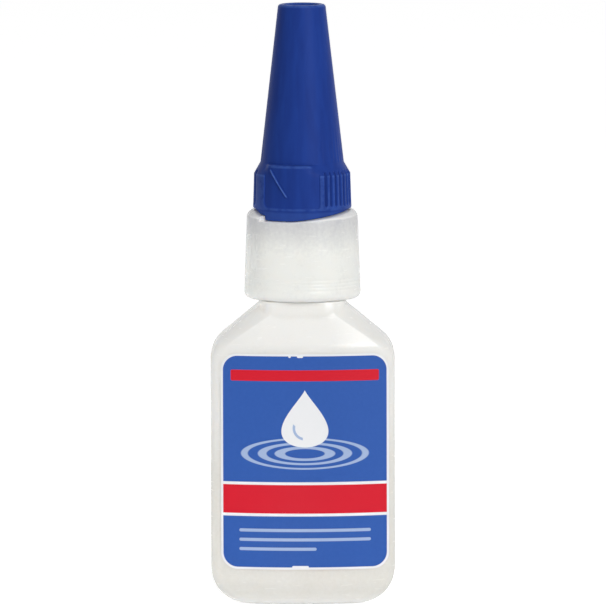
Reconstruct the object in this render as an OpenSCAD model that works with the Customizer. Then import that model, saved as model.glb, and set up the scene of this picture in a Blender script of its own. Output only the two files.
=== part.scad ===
// Squeeze bottle of instant adhesive: flat bottle, screw-on spout and collar, cam-release cap.
// Millimetres. The bottle stands on z = 0, its neck axis is Z and its front label faces -Y.
// Angles round the axis are counted from the front, positive towards +X.

/* [Bottle] */
// Width of the bottle, side to side
bottle_w = 35.4; // [31:0.2:50]
// Depth of the bottle, front to back
bottle_d = 23; // [21:0.5:36]
// Wall thickness of the bottle
bottle_wall = 1; // [0.7:0.1:1.6]
// Height of the straight side walls
wall_h = 46.8; // [40:0.2:80]
// How far the front and back walls rise above the side walls
front_lift = 2.7; // [0:0.1:4]
// Height of the shoulder above the side walls
shoulder_h = 12.2; // [9:0.2:16]
// Rounding between a side wall and the shoulder
side_turn = 6.1; // [3:0.1:7]
// Rounding between the front wall and the shoulder
front_turn = 3; // [1.6:0.1:3.6]
// Rounding of the base at the sides, seen from the front
side_base = 7.4; // [4:0.1:9]
// Rounding of the base at the front and back
front_base = 5; // [3:0.1:6]
// Rounding of the upright edges
edge_round = 2.5; // [2:0.1:3.2]
// How far the front and back bow outwards over the width
face_bow = 3.4; // [1.5:0.1:4.2]

/* [Neck and thread] */
// Diameter of the neck under the thread
neck_d = 16; // [14:0.2:18]
// Height of the neck above the shoulder
neck_h = 11.5; // [10:0.1:15]
// Wall thickness of the neck
neck_wall = 1.8; // [1.2:0.1:2.6]
// Thread pitch
thread_pitch = 3; // [2.8:0.1:3.6]
// Thread depth
thread_depth = 0.75; // [0.5:0.05:0.9]
// Clearance between a thread crest and the root that it runs in
thread_gap = 0.25; // [0.2:0.05:0.4]

/* [Adhesive] */
// Depth of the adhesive's level below the top of the side walls
headspace = 14.8; // [10:0.2:30]

/* [Labels] */
// Bare wall left at each side of the front label
label_side_gap = 1.6; // [1.5:0.1:6]
// Bare wall between the base's rounding and the front label
label_foot_gap = 2.2; // [0.5:0.1:6]
// Bare wall between the front label and the shoulder
label_head_gap = 0.8; // [0.4:0.1:6]
// Corner radius of both labels
label_corner = 3.2; // [0.5:0.1:6]
// How far the front label was stuck to the right of the middle
label_shift = 0.4; // [-0.6:0.1:0.6]
// How much smaller the back label is at each edge
back_label_inset = 1.7; // [0:0.1:6]
// Thickness of the label film
film_t = 0.12; // [0.06:0.01:0.3]

/* [Screw collar] */
// Thickness of the lip that holds the spout's flange down
lip_t = 3.5; // [3.3:0.1:5]
// Wall thickness of the collar at its top
collar_wall = 1.6; // [1.2:0.1:2.4]
// How much the collar widens in radius towards its foot
collar_flare = 0.65; // [0.1:0.05:1]
// Rounding of the collar's top edge
collar_top_round = 1.5; // [0.5:0.1:1.6]
// Rounding of the collar's foot
collar_foot_round = 1.3; // [0.4:0.1:1.5]
// Height of the spigot that the cap is pushed on
spigot_h = 4.4; // [3:0.1:5.5]
// Wall thickness of the spigot
spigot_wall = 1.1; // [0.9:0.1:1.4]

/* [Spout] */
// Thickness of the flange that sits on the neck
flange_t = 1.5; // [1:0.1:2]
// Depth of the plug in the neck
plug_depth = 7.5; // [6:0.1:9]
// Wall thickness of the spout
spout_wall = 1.1; // [0.8:0.1:1.4]
// Diameter of the spout at its tip
tip_d = 2.8; // [2.2:0.1:3.4]
// Bore at the tip
tip_bore_d = 1.2; // [1:0.05:1.4]
// Length of the narrow bore at the tip
tip_bore_h = 10; // [6:0.5:14]

/* [Cap] */
// Diameter of the cap at its top
cap_top_d = 9.2; // [8.6:0.1:11]
// Height of the cone above the skirt
cone_h = 30.3; // [26:0.1:40]
// Height of the skirt above the collar, up to its chamfer
skirt_h = 6.9; // [6.4:0.1:9]
// Height of the chamfer between skirt and cone
chamfer_h = 2.2; // [1.4:0.1:3]
// How far the skirt stands out from the foot of the cone
skirt_step = 1.25; // [0.8:0.05:1.6]
// Wall thickness of the skirt, over its ribs
skirt_wall = 1.8; // [1.5:0.05:2.4]
// Wall thickness of the cone
cone_wall = 1.2; // [0.9:0.1:1.5]
// Depth of the hollow in the top of the cap
hollow_h = 3.5; // [2:0.1:5]
// Width of the rim round that hollow
hollow_rim = 1.3; // [0.9:0.1:1.6]
// Thickness of the cap's roof below that hollow
roof_t = 2; // [1.2:0.1:3]
// Depth of the grip ribs
rib_depth = 0.35; // [0.15:0.05:0.5]
// Angle from rib to rib
rib_pitch = 7.5; // [5:0.5:10]
// Angle that each smooth grip panel spans
panel_angle = 74; // [40:1:100]
// Angle of the raised frame on the left of each panel
frame_angle = 16; // [8:1:24]
// How far each panel is sunk below the ribs
panel_depth = 0.2; // [0.1:0.05:0.25]

/* [Cam between cap and collar] */
// Lift of the cap when it is turned up the cam
cam_rise = 1.8; // [1:0.1:2.2]
// Angle of the cam's ramp
ramp_angle = 92; // [70:1:100]
// Angle of the low stretch before the ramp
dwell_angle = 40; // [20:1:44]
// Angle from the front to the cam's step
step_angle = -52; // [-90:1:0]
// Clearance between the two cam faces
cam_gap = 0.12; // [0.08:0.01:0.2]

/* [Pin] */
// Diameter of the pin that keeps the tip's bore open
pin_d = 0.8; // [0.5:0.05:0.9]
// Length of the pin
pin_l = 14.5; // [10:0.5:18]
// Diameter of the holder's stem in the cap's roof
holder_d = 3.5; // [2.4:0.1:4.2]

/* [Fits] */
// Radial clearance of a plug, stem or pin in its bore
running_gap = 0.06; // [0.03:0.01:0.1]
// Radial clearance between the cap and the spigot
cap_gap = 0.1; // [0.05:0.01:0.2]
// Gap between faces that rest on one another
seat_gap = 0.05; // [0.02:0.01:0.1]

/* [Hidden] */
$fn = 96;

milky = [0.9, 0.9, 0.88];
waxy = [0.88, 0.89, 0.87];
clear_fluid = [0.95, 0.93, 0.8];
cap_blue = [0.15, 0.23, 0.54];
film_blue = [0.23, 0.38, 0.69];
film_white = [0.94, 0.94, 0.94];
steel = [0.7, 0.7, 0.72];

// How far a cut runs past the face that it opens
cut_over = 1;

// Bottle: the shoulder's slopes run in under the neck, and a foot ring and a ledge stand round it there
side_tuck = 1.4;
hip_tuck = 2.7;
foot_lap = 0.5;
foot_gap = 0.2;
ledge_h = 0.4;
form_drop = 0.5;
cavity_drop = 0.6;
shoulder_z = wall_h + shoulder_h;
neck_r = neck_d / 2;
side_root_r = neck_r - side_tuck;
front_root_r = neck_r;
hip_round = neck_r - hip_tuck;
bore_r = neck_r - neck_wall;
crest_r = neck_r + thread_depth;
rim_z = shoulder_z + neck_h;
neck_z = wall_h + 0.7 * shoulder_h;
ledge_z = shoulder_z + ledge_h;
form_top_z = shoulder_z - form_drop;
cavity_top_z = shoulder_z - cavity_drop;
bow_r = (pow(bottle_w / 2, 2) + pow(face_bow, 2)) / (2 * face_bow);
side_wall = [bottle_w / 2, side_base, wall_h, side_turn, side_root_r];
front_wall = [bottle_d / 2, front_base, wall_h + front_lift, front_turn, front_root_r];
bow_steps = 4;
edge_steps = 4;
base_steps = 8;
turn_steps = 6;
// Space left round the adhesive, and between a label's film and the wall behind it
fill_gap = 0.1;
film_gap = 0.04;
fill_inset = bottle_wall + fill_gap;
fill_z = wall_h - headspace;
label_w = bottle_w - 2 * label_side_gap;
label_z = front_base + label_foot_gap;
label_h = wall_h + front_lift - label_head_gap - label_z;

// Collar, which reaches a little below the neck's ledge, and the thread that it shares with the neck
collar_reach = 0.5;
thread_rim_gap = 1.2;
thread_foot_gap = 0.8;
thread_sink = 0.3;
flange_z = rim_z + seat_gap;
lip_z = flange_z + flange_t + seat_gap;
collar_z = shoulder_z - collar_reach;
foot_r = crest_r + foot_lap;
foot_top_z = collar_z - foot_gap;
collar_top_z = lip_z + lip_t;
collar_h = collar_top_z - collar_z;
collar_in_r = crest_r + thread_gap;
collar_top_r = collar_in_r + collar_wall;
collar_foot_r = collar_top_r + collar_flare;
thread_base = 0.5 * thread_pitch;
thread_tip = 0.26 * thread_pitch;
thread_turns = (neck_h - ledge_h - thread_rim_gap - thread_foot_gap) / thread_pitch - 0.75;
thread_start_z = rim_z - thread_rim_gap - thread_turns * thread_pitch;
thread_step = 10;
thread_runout = 30;

// Spout: a stem a little wider than the bore below it, with a shoulder where the cone starts
stem_step = 0.2;
stem_rise = 0.4;
cone_shoulder = 0.6;
plug_r = bore_r - running_gap;
stem_r = bore_r + stem_step;
spigot_in_r = stem_r + running_gap;
spigot_r = spigot_in_r + spigot_wall;
spigot_z = collar_top_z + spigot_h;
stem_z = spigot_z + stem_rise;
spout_r = stem_r - cone_shoulder;

// Cap
skirt_taper = 0.2;
skirt_lift = 0.2;
spigot_room = 0.6;
skirt_in_r = spigot_r + cap_gap;
skirt_r = skirt_in_r + skirt_wall;
skirt_core_r = skirt_in_r + skirt_wall / 3;
skirt_z = collar_top_z + cam_gap + skirt_lift;
skirt_top_z = collar_top_z + skirt_h;
cone_z = skirt_top_z + chamfer_h;
cone_r = skirt_r - skirt_taper - skirt_step;
cap_top_r = cap_top_d / 2;
cap_z = cone_z + cone_h;
sleeve_r = skirt_r - 0.85 * rib_depth;
cavity_z = spigot_z + spigot_room;
hollow_r = cap_top_r - hollow_rim;
hollow_z = cap_z - hollow_h;
roof_z = hollow_z - roof_t;
rim_round = 0.45 * hollow_rim;
rib_angle = 0.42 * rib_pitch;
rib_count = floor((180 - panel_angle - frame_angle) / rib_pitch);
rib_inset = 0.03;
panel_start = step_angle;
// Each panel goes straight up to a ledge at the foot of the cone, and starts inside its frame
pad_top_z = cone_z - 0.4;
pad_overlap = 2;
// The skirt's foot is a plain band
band_h = 0.4;
// Raised stroke on each panel: its width and height, and where it runs as shares of the panel
mark_w = 0.5;
mark_proud = 0.15;
mark_from = [0.12, 1.18];
mark_to = [0.46, 0.36];

// Cam: two equal lobes, each a low stretch, a ramp, a high stretch and a short fall to the step
cam_period = 180;
cam_low_z = collar_top_z - cam_rise;
cam_fall = 0.5 * cam_rise;
cam_fall_angle = 0.6 * (cam_period - dwell_angle - ramp_angle);
cam_step_gap = 1.2;
cam_edge = 0.3;
cam_steps = 16;
cam_in_r = 0.5 * spigot_in_r;
cam_out_r = 1.3 * collar_foot_r;

// Pin and its holder, which ends above the spout's tip
tip_room = 2.4;
holder_reach = 1.2;
holder_head_t = 0.8;
pin_cover = 0.3;
spout_top_z = roof_z - tip_room;
holder_r = holder_d / 2;
holder_head_r = 0.8 * hollow_r;
holder_foot_z = roof_z - holder_reach;
pin_r = pin_d / 2;
pin_top_z = hollow_z - pin_cover;

// Angle at which a wall's rounding hands over to the straight slope of the shoulder
function turn_angle(wall) =
  let (dx = wall[4] - wall[0] + wall[3])
  let (dz = shoulder_z - wall[2])
  atan2(dz, dx) - acos(wall[3] / norm([dx, dz]));

// Half-size of the bottle at height z in one direction, moved inwards by inset
function half_size(z, wall, inset) =
  let (turn = turn_angle(wall))
  let (turn_r = wall[3] - inset)
  let (slope_z = wall[2] + turn_r * sin(turn))
  let (slope_x = wall[0] - wall[3] + turn_r * cos(turn))
  let (top_x = wall[4] - inset / cos(turn))
  z < wall[1] ? wall[0] - wall[1] + sqrt(max(0, pow(wall[1] - inset, 2) - pow(wall[1] - z, 2)))
  : z <= wall[2] ? wall[0] - inset
  : z <= slope_z ? wall[0] - wall[3] + sqrt(pow(turn_r, 2) - pow(z - wall[2], 2))
  : slope_x + (top_x - slope_x) * (z - slope_z) / (shoulder_z - slope_z);

// Radius of the upright edges at height z: they open out towards the round neck
function edge_r(z, inset) =
  let (t = max(0, z - wall_h) / shoulder_h)
  edge_round + (hip_round - edge_round) * t - inset;

// A quarter of the bottle's section at height z, from the middle of the front to the right side
function quarter(z, inset) =
  let (w = half_size(z, side_wall, inset))
  let (d = half_size(z, front_wall, inset))
  let (r = edge_r(z, inset))
  let (bow = bow_r - inset)
  let (cx = w - r)
  let (cy = sqrt(pow(bow - r, 2) - pow(cx, 2)) - (bow - d))
  let (join = asin(cx / (bow - r)))
  concat(
    [for (i = [0:bow_steps - 1]) let (a = join * i / bow_steps)
      [bow * sin(a), bow - d - bow * cos(a)]],
    [for (i = [0:edge_steps]) let (a = join + (90 - join) * i / edge_steps)
      [cx + r * sin(a), -cy - r * cos(a)]]
  );

// The whole section, counter-clockwise seen from above
function section(z, inset) =
  let (q = quarter(z, inset))
  let (last = len(q) - 1)
  [for (p = concat(
    q,
    [for (i = [last:-1:0]) [q[i][0], -q[i][1]]],
    [for (i = [1:last]) [-q[i][0], -q[i][1]]],
    [for (i = [last:-1:1]) [-q[i][0], q[i][1]]]
  )) [p[0], p[1], z]];

// Heights of the sections: round the base, up the walls, round the shoulder and up to top_z
function section_heights(inset, top_z) = concat(
  [for (i = [0:base_steps]) side_base - (side_base - inset) * cos(90 * i / base_steps)],
  [for (i = [0:turn_steps]) wall_h + (side_turn - inset) * sin(turn_angle(side_wall) * i / turn_steps)],
  [top_z]
);

// Triangles that join the rings of a tube; a closed tube joins its last ring to its first
function tube_faces(rings, sides, closed) =
  let (bands = closed ? rings : rings - 1)
  [for (i = [0:bands - 1]) for (j = [0:sides - 1]) for (half = [0, 1])
    let (a = i * sides + j)
    let (b = i * sides + (j + 1) % sides)
    let (c = ((i + 1) % rings) * sides + (j + 1) % sides)
    let (d = ((i + 1) % rings) * sides + j)
    half == 0 ? [a, c, b] : [a, d, c]];

// The bottle's body as a solid through its sections at these heights, moved inwards by inset
module body_form(inset, heights) {
  sides = len(section(heights[0], inset));
  rings = len(heights);
  polyhedron(
    points = [for (z = heights) each section(z, inset)],
    faces = concat(
      [[for (j = [0:sides - 1]) j]],
      tube_faces(rings, sides, false),
      [[for (j = [sides - 1:-1:0]) (rings - 1) * sides + j]]
    ),
    convexity = 4
  );
}

// A helical ridge from the radius root_at to crest_at, sunk a little into the wall that carries it
module thread_ridge(root_at, crest_at, start_z) {
  out = sign(crest_at - root_at);
  stations = ceil(thread_turns * 360 / thread_step);
  function height_at(a) = min(1, a / thread_runout, (thread_turns * 360 - a) / thread_runout);
  function ring(a) =
    let (inner = root_at - out * thread_sink)
    let (low = root_at - out * 0.4 * thread_sink)
    let (crest = low + (crest_at - low) * height_at(a))
    let (z = start_z + thread_pitch * a / 360)
    let (profile = [
      [inner, -thread_base / 2], [crest, -thread_tip / 2], [crest, thread_tip / 2], [inner, thread_base / 2]
    ])
    [for (k = [0:3]) let (p = profile[out > 0 ? 3 - k : k])
      [p[0] * cos(a), p[0] * sin(a), z + p[1]]];
  polyhedron(
    points = [for (i = [0:stations]) each ring(i * thread_turns * 360 / stations)],
    faces = concat(
      [[0, 1, 2, 3]],
      tube_faces(stations + 1, 4, false),
      [[for (k = [3:-1:0]) stations * 4 + k]]
    ),
    convexity = 10
  );
}

// Height of the collar's cam face at each angle of one lobe, as [angle, height] stations
function cam_stations(step_gap) =
  let (fall_at = cam_period - cam_fall_angle)
  concat(
    [[step_gap, cam_low_z], [dwell_angle / 2, cam_low_z]],
    [for (i = [0:cam_steps]) let (t = i / cam_steps)
      [dwell_angle + ramp_angle * t, cam_low_z + cam_rise * t]],
    [for (i = [0:3]) [fall_at + (cam_fall_angle - cam_edge) * i / 3, collar_top_z - cam_fall * i / 3]],
    step_gap > 0 ? [[cam_period + step_gap - cam_edge, collar_top_z - cam_fall]] : []
  );

// A ring that fills the space from the cam face to the height far_z, lifted by gap
module cam_fill(gap, step_gap, far_z) {
  stations = [for (k = [0, 1]) for (s = cam_stations(step_gap))
    [s[0] + k * cam_period + step_angle - 90, s[1] + gap]];
  up = far_z > collar_top_z;
  function ring(a, z) =
    let (profile = [[cam_in_r, z], [cam_out_r, z], [cam_out_r, far_z], [cam_in_r, far_z]])
    [for (k = [0:3]) let (p = profile[up ? 3 - k : k]) [p[0] * cos(a), p[0] * sin(a), p[1]]];
  polyhedron(
    points = [for (s = stations) each ring(s[0], s[1])],
    faces = tube_faces(len(stations), 4, true),
    convexity = 10
  );
}

// A rectangle with round corners, standing on its lower edge
module round_rectangle(w, h, r) {
  translate([-w / 2 + r, 0]) square([w - 2 * r, h]);
  translate([-w / 2, r]) square([w, h - 2 * r]);
  for (x = [-w / 2 + r, w / 2 - r], y = [r, h - r]) translate([x, y]) circle(r);
}

// A label's film, wrapped on the bowed front
module film(w, h, z, corner, shift) {
  film_r = bow_r + film_gap;
  intersection() {
    translate([0, bow_r - bottle_d / 2, z - cut_over]) difference() {
      cylinder(r = film_r + film_t, h = h + 2 * cut_over);
      translate([0, 0, -cut_over]) cylinder(r = film_r, h = h + 4 * cut_over);
    }
    translate([shift, 0, z]) rotate([90, 0, 0]) linear_extrude(bottle_d) round_rectangle(w, h, corner);
  }
}

module bottle() {
  color(milky) difference() {
    body_form(0, section_heights(0, neck_z));
    body_form(bottle_wall, section_heights(bottle_wall, cavity_top_z));
  }
}

// One moulding with the bottle, and a solid of its own so that its collision stays open
module bottle_neck() {
  color(milky) difference() {
    union() {
      body_form(0, [neck_z, form_top_z]);
      translate([0, 0, neck_z]) cylinder(r = foot_r, h = foot_top_z - neck_z);
      translate([0, 0, neck_z]) cylinder(r = crest_r, h = ledge_z - neck_z);
      translate([0, 0, neck_z]) cylinder(r = neck_r, h = rim_z - neck_z);
      thread_ridge(neck_r, crest_r, thread_start_z);
    }
    body_form(bottle_wall, section_heights(bottle_wall, cavity_top_z));
    translate([0, 0, neck_z]) cylinder(r = bore_r, h = rim_z - neck_z + cut_over);
  }
}

module adhesive() {
  color(clear_fluid) intersection() {
    body_form(fill_inset, section_heights(fill_inset, cavity_top_z));
    translate([-bottle_w, -bottle_w, 0]) cube([2 * bottle_w, 2 * bottle_w, fill_z]);
  }
}

module front_label() {
  color(film_blue) film(label_w, label_h, label_z, label_corner, label_shift);
}

module back_label() {
  w = label_w - 2 * back_label_inset;
  h = label_h - 2 * back_label_inset;
  color(film_white) rotate([0, 0, 180]) film(w, h, label_z + back_label_inset, label_corner, 0);
}

module spout() {
  bore_foot_r = plug_r - spout_wall;
  cone_foot_r = spout_r - spout_wall;
  tip_r = tip_d / 2;
  bore_top_z = spout_top_z - tip_bore_h;
  color(waxy) difference() {
    union() {
      translate([0, 0, flange_z - plug_depth]) cylinder(r = plug_r, h = plug_depth + flange_t);
      translate([0, 0, flange_z]) cylinder(r = neck_r, h = flange_t);
      translate([0, 0, flange_z]) cylinder(r = stem_r, h = stem_z - flange_z);
      translate([0, 0, stem_z]) cylinder(r1 = spout_r, r2 = tip_r, h = spout_top_z - stem_z);
    }
    translate([0, 0, flange_z - plug_depth - cut_over]) cylinder(r = bore_foot_r, h = plug_depth + cut_over);
    translate([0, 0, flange_z]) cylinder(r1 = bore_foot_r, r2 = cone_foot_r, h = stem_z - flange_z);
    translate([0, 0, stem_z]) cylinder(r1 = cone_foot_r, r2 = tip_bore_d / 2, h = bore_top_z - stem_z);
    translate([0, 0, bore_top_z]) cylinder(d = tip_bore_d, h = tip_bore_h + cut_over);
  }
}

// Half-section of the collar before it is bored, with its rounded top edge and foot
module collar_section() {
  lean = atan(collar_flare / collar_h);
  function side_r(z) = collar_top_r + collar_flare * (collar_top_z - z) / collar_h;
  function centre(z, r) = [side_r(z) - r / cos(lean), z];
  top = centre(collar_top_z - collar_top_round, collar_top_round);
  foot = centre(collar_z + collar_foot_round, collar_foot_round);
  reach = [cos(lean), sin(lean)];
  core_r = spigot_in_r - cut_over;
  polygon([
    [core_r, collar_z], [foot[0], collar_z], foot + collar_foot_round * reach,
    top + collar_top_round * reach, [top[0], collar_top_z], [core_r, collar_top_z]
  ]);
  translate(top) circle(collar_top_round);
  translate(foot) circle(collar_foot_round);
}

module screw_collar() {
  color(waxy) difference() {
    union() {
      difference() {
        rotate_extrude() collar_section();
        cam_fill(0, 0, collar_top_z + cut_over);
        translate([0, 0, collar_z - cut_over]) cylinder(r = collar_in_r, h = lip_z - collar_z + cut_over);
      }
      translate([0, 0, lip_z]) cylinder(r = spigot_r, h = spigot_z - lip_z);
      thread_ridge(collar_in_r, neck_r + thread_gap, thread_start_z - thread_pitch / 2);
    }
    translate([0, 0, lip_z - cut_over]) cylinder(r = spigot_in_r, h = spigot_z - lip_z + 2 * cut_over);
  }
}

// A sector of the skirt's outer layer, between two angles from the front and up to a given height
module skirt_sector(from, to, inset, top_z) {
  foot_z = skirt_z + band_h / 2;
  r = skirt_r - inset;
  rotate([0, 0, from - 90]) rotate_extrude(angle = to - from) polygon([
    [skirt_core_r, foot_z], [r, foot_z], [r - skirt_taper, top_z],
    [cone_r, cone_z - skirt_lift], [skirt_core_r, cone_z - chamfer_h / 3]
  ]);
}

// Outer form of the cap: cam sleeve, foot band, skirt core and cone, with a rounded top edge
module cap_form() {
  core_r = skirt_r - rib_depth;
  edge_z = cap_z - rim_round;
  rotate_extrude() {
    polygon([
      [0, cam_low_z], [sleeve_r, cam_low_z], [sleeve_r, skirt_z], [skirt_r, skirt_z],
      [skirt_r - rib_inset / 2, skirt_z + band_h], [core_r, skirt_z + band_h],
      [core_r - skirt_taper, skirt_top_z], [cone_r, cone_z], [cap_top_r, edge_z],
      [cap_top_r - rim_round, cap_z], [0, cap_z]
    ]);
    translate([cap_top_r - rim_round, edge_z]) circle(rim_round);
  }
}

// Raised stroke on the grip panel, slanting from its upper left
module panel_mark() {
  function place(share) = [
    skirt_r * sin(panel_start + share[0] * panel_angle),
    skirt_z + share[1] * (skirt_top_z - skirt_z)
  ];
  crest_top_r = skirt_r - panel_depth + mark_proud;
  from_p = place(mark_from);
  run = place(mark_to) - from_p;
  intersection() {
    translate([from_p[0], 0, from_p[1]]) rotate([0, atan2(-run[1], run[0]), 0])
      translate([0, -2 * skirt_r, -mark_w / 2]) cube([norm(run), 2 * skirt_r, mark_w]);
    translate([0, 0, skirt_z]) difference() {
      cylinder(r1 = crest_top_r, r2 = crest_top_r - skirt_taper, h = pad_top_z - skirt_z);
      cylinder(r = skirt_core_r, h = pad_top_z - skirt_z + cut_over);
    }
  }
}

module cap() {
  color(cap_blue) difference() {
    union() {
      cap_form();
      for (k = [0, 1]) rotate([0, 0, k * cam_period]) {
        skirt_sector(panel_start - frame_angle, panel_start, rib_inset, skirt_top_z);
        skirt_sector(panel_start - pad_overlap, panel_start + panel_angle, panel_depth, pad_top_z);
        for (i = [1:rib_count]) {
          from = panel_start + panel_angle + (i - 0.7) * rib_pitch;
          skirt_sector(from, from + rib_angle, rib_inset, skirt_top_z);
        }
        panel_mark();
      }
    }
    translate([0, 0, cam_low_z - cut_over]) cylinder(r = skirt_in_r, h = cavity_z - cam_low_z + cut_over);
    translate([0, 0, cavity_z]) cylinder(
      r1 = cone_r - cone_wall, r2 = cap_top_r - cone_wall, h = roof_z - cavity_z
    );
    translate([0, 0, hollow_z]) cylinder(r = hollow_r, h = hollow_h + cut_over);
    translate([0, 0, roof_z - cut_over]) cylinder(r = holder_r + running_gap, h = roof_t + 2 * cut_over);
    cam_fill(cam_gap, cam_step_gap, cam_low_z - cut_over);
  }
}

module pin_holder() {
  color(milky) difference() {
    union() {
      translate([0, 0, holder_foot_z])
        cylinder(r = holder_r, h = hollow_z - holder_foot_z + holder_head_t / 2);
      translate([0, 0, hollow_z + seat_gap]) cylinder(r = holder_head_r, h = holder_head_t);
    }
    translate([0, 0, holder_foot_z - cut_over])
      cylinder(r = pin_r + running_gap, h = pin_top_z + seat_gap - holder_foot_z + cut_over);
  }
}

module cap_pin() {
  color(steel) translate([0, 0, pin_top_z - pin_l]) {
    translate([0, 0, pin_r]) cylinder(r = pin_r, h = pin_l - pin_r);
    cylinder(r1 = 0.5 * pin_r, r2 = pin_r, h = pin_r);
  }
}

bottle();
bottle_neck();
adhesive();
front_label();
back_label();
spout();
screw_collar();
cap();
pin_holder();
cap_pin();
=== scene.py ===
# %% [markdown]
# # A small squeeze bottle of instant adhesive
# The real object is a milky plastic bottle with a printed label, a screw collar and a tall blue cap.
# A CAD model of it exists already and gives the size and place of every piece. It is loaded here as a
# fixed frame, in metres. The pieces below are finer versions of its solids, so each is made in place.

# %% Load the frame
import math

import bmesh
import bpy
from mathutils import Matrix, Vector


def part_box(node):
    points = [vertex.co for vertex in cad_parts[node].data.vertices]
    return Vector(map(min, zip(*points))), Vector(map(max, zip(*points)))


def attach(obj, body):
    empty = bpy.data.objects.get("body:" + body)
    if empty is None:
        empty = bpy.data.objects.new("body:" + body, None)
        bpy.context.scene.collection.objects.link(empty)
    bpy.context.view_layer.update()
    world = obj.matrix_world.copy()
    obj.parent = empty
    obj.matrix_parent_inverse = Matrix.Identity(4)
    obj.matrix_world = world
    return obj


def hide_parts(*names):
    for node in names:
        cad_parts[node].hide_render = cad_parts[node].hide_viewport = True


MM = 0.001
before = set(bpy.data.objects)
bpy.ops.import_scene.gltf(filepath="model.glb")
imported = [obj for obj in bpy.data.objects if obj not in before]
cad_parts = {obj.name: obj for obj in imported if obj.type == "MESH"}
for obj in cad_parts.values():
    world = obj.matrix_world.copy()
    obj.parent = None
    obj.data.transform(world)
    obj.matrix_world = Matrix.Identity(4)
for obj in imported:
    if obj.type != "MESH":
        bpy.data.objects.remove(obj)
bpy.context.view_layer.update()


def box_mm(node):
    """Lowest and highest corner of a CAD node, in millimetres."""
    low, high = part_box(node)
    return low / MM, high / MM


# %% [markdown]
# ## Shader maths in Python
# A material is a graph of nodes. Sums wired by hand are hard to read, so one small class wraps a socket
# and lets plain operators add the Math nodes. Everything else comes from one method that adds a node.
# A colour is written as it looks on a screen, from 0 to 255, and turned into linear light.

# %% A socket that takes part in sums
class Value:
    """A number or colour that changes over a surface: an output socket of a node in some graph."""

    def __init__(self, graph, socket):
        self.graph = graph
        self.socket = socket

    def also(self, output):
        """Another output of the same node."""
        return Value(self.graph, self.graph.pick(self.socket.node.outputs, output))

    def __add__(self, other):
        return self.graph.maths("ADD", self, other)

    def __radd__(self, other):
        return self.graph.maths("ADD", other, self)

    def __sub__(self, other):
        return self.graph.maths("SUBTRACT", self, other)

    def __rsub__(self, other):
        return self.graph.maths("SUBTRACT", other, self)

    def __mul__(self, other):
        return self.graph.maths("MULTIPLY", self, other)

    def __rmul__(self, other):
        return self.graph.maths("MULTIPLY", other, self)

    def __truediv__(self, other):
        return self.graph.maths("DIVIDE", self, other)

    def __pow__(self, other):
        return self.graph.maths("POWER", self, other)

    def __abs__(self):
        return self.graph.maths("ABSOLUTE", self)

    def at_least(self, other):
        return self.graph.maths("MAXIMUM", self, other)

    def at_most(self, other):
        return self.graph.maths("MINIMUM", self, other)

    def root(self):
        return self.graph.maths("SQRT", self)

    def rise(self, low, high):
        """0 below low, 1 above high, and a smooth step between."""
        ends = {"Value": self, "From Min": low, "From Max": high}
        return self.graph.node("ShaderNodeMapRange", {"interpolation_type": "SMOOTHSTEP"}, ends, "Result")


# %% A graph, and a material that is one
class Graph:
    """A node tree that grows by calls."""

    def __init__(self, tree):
        self.tree = tree

    @staticmethod
    def pick(sockets, key):
        """The socket with this identifier or, if there is none, this name."""
        found = [s for s in sockets if s.identifier == key]
        return found[0] if found else sockets[key]

    def node(self, kind, settings, sockets, output):
        """Adds a node of this kind, sets it up, fills its sockets and returns one of its outputs."""
        made = self.tree.nodes.new(kind)
        for name, value in settings.items():
            setattr(made, name, value)
        for key, value in sockets.items():
            self.fill(self.pick(made.inputs, key), value)
        return Value(self, self.pick(made.outputs, output))

    def fill(self, socket, value):
        if isinstance(value, Value):
            self.tree.links.new(value.socket, socket)
        else:
            socket.default_value = value

    def maths(self, operation, *terms):
        sockets = dict(zip(("Value", "Value_001"), terms))
        return self.node("ShaderNodeMath", {"operation": operation}, sockets, "Value")

    def mix(self, share, first, second):
        """Goes from the first colour to the second as share goes from 0 to 1."""
        sockets = {"Factor_Float": share, "A_Color": first, "B_Color": second}
        return self.node("ShaderNodeMix", {"data_type": "RGBA"}, sockets, "Result_Color")

    def noise(self, vector, scale, detail=2.0):
        sockets = {"Vector": vector, "Scale": scale, "Detail": detail}
        return self.node("ShaderNodeTexNoise", {}, sockets, "Fac")


class Finish(Graph):
    """A material with one Principled shader. What is the same all over is set on its own sockets."""

    def __init__(self, name, constants):
        self.material = bpy.data.materials.new(name)
        self.material.use_nodes = True
        super().__init__(self.material.node_tree)
        self.shader = self.tree.nodes["Principled BSDF"]
        for key, value in constants.items():
            self.shader.inputs[key].default_value = value
        raw = self.node("ShaderNodeTexCoord", {}, {}, "Object")
        to_mm = {"Vector": raw, "Scale": 1.0 / MM}
        self.place = self.node("ShaderNodeVectorMath", {"operation": "SCALE"}, to_mm, "Vector")
        self.x = self.node("ShaderNodeSeparateXYZ", {}, {"Vector": self.place}, "X")
        self.y = self.x.also("Y")
        self.z = self.x.also("Z")

    def stretched(self, x, y, z):
        """The place in millimetres, with each axis multiplied, for patterns that run one way."""
        factors = {"Vector": self.place, "Vector_001": (x, y, z)}
        return self.node("ShaderNodeVectorMath", {"operation": "MULTIPLY"}, factors, "Vector")

    def from_axis(self):
        """Distance from the upright axis, in millimetres."""
        return (self.x * self.x + self.y * self.y).root()

    def feed(self, socket, value):
        self.fill(self.shader.inputs[socket], value)

    def bump(self, height, distance):
        """Turns a height from 0 to 1 into relief this many millimetres deep."""
        sockets = {"Height": height, "Distance": distance * MM, "Strength": 1.0}
        self.feed("Normal", self.node("ShaderNodeBump", {}, sockets, "Normal"))


def screen(red, green, blue):
    """A colour as it looks on a screen, in linear light."""
    def linear(level):
        share = level / 255
        return share / 12.92 if share <= 0.04045 else ((share + 0.055) / 1.055) ** 2.4
    return (linear(red), linear(green), linear(blue), 1.0)


print("shader tools ready")

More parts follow.
